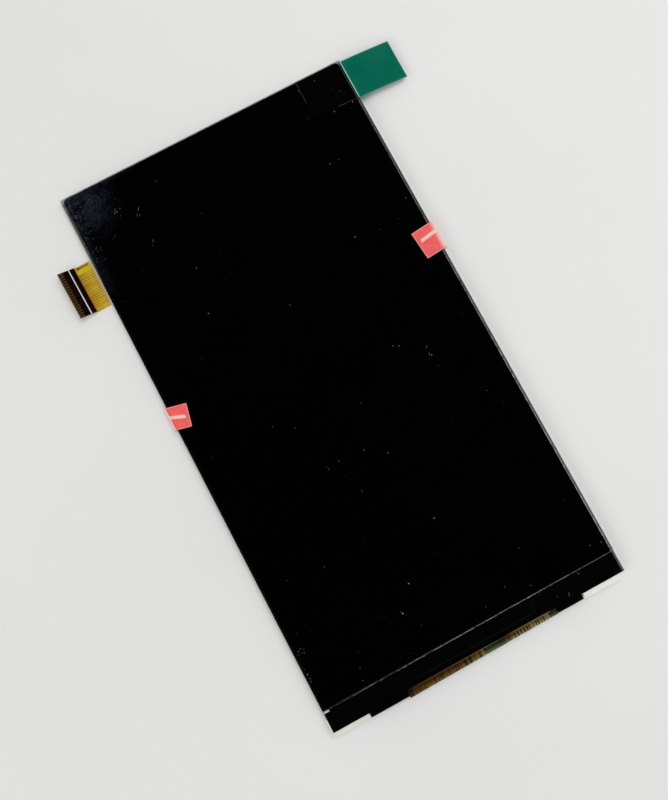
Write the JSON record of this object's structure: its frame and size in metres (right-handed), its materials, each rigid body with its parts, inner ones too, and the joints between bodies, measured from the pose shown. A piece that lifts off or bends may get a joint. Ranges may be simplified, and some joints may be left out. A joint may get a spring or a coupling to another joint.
{
  "type": "display module",
  "caption": "Flat colour LCD module: black glossy face, white backlight frame, folded amber circuit with a plug-in tail, green pull tab and red edge seals.",
  "frame": {"origin": "centre of the back face of the module, on the reflector sheet", "axes": "+Z out of the display face, +Y along the module from the folded circuit towards the pull tab end, +X across towards the pull tab"},
  "size_m": [0.0825, 0.1197, 0.0022],
  "materials": {
    "amber_circuit": "amber film over copper lines",
    "amber_tape": "clear amber",
    "black_tape": "black, semi-matt",
    "capacitor": "tan ceramic",
    "clear_film": "clear, glossy",
    "diode_body": "black moulded",
    "gold_plate": "gold plated",
    "green_tab": "green, clear to the light",
    "lamp": "white body, yellow window",
    "lamp_strip": "white coated circuit",
    "light_guide": "clear, polished",
    "optical_sheet": "milky",
    "panel_glass": "polished, dark over the black rim",
    "polariser": "black, glossy",
    "red_seal": "red sticker with a pale border",
    "reflector": "silver white film",
    "resistor": "black",
    "rim_adhesive": "black, matt",
    "silicon": "polished grey",
    "silver_paste": "dull silver",
    "solder": "bright solder",
    "stiffener": "dark brown film",
    "white_moulding": "white, slightly satin"
  },
  "bodies": {
    "root": {"array_glass": "panel_glass", "backlight_frame": "white_moulding", "bulk_capacitors": "capacitor", "capacitors": "capacitor", "colour_filter_glass": "panel_glass", "contact_fingers": "gold_plate", "diffuser_sheet": "optical_sheet", "diode": "diode_body", "driver_chip": "silicon", "flex_fixing_tape": "amber_tape", "led_01": "lamp", "led_02": "lamp", "led_03": "lamp", "led_04": "lamp", "led_05": "lamp", "led_06": "lamp", "led_07": "lamp", "led_08": "lamp", "led_09": "lamp", "led_10": "lamp", "led_flex": "lamp_strip", "led_solder_joints": "solder", "light_guide": "light_guide", "lower_polariser": "polariser", "lower_prism_sheet": "optical_sheet", "main_flex": "amber_circuit", "protective_film": "clear_film", "pull_tab": "green_tab", "reflector_sheet": "reflector", "resistors": "resistor", "rim_tape": "rim_adhesive", "seal_left": "red_seal", "seal_right": "red_seal", "shield_tape": "black_tape", "silver_dot": "silver_paste", "tail_stiffener": "stiffener", "upper_polariser": "polariser", "upper_prism_sheet": "optical_sheet"}
  },
  "joints": []
}
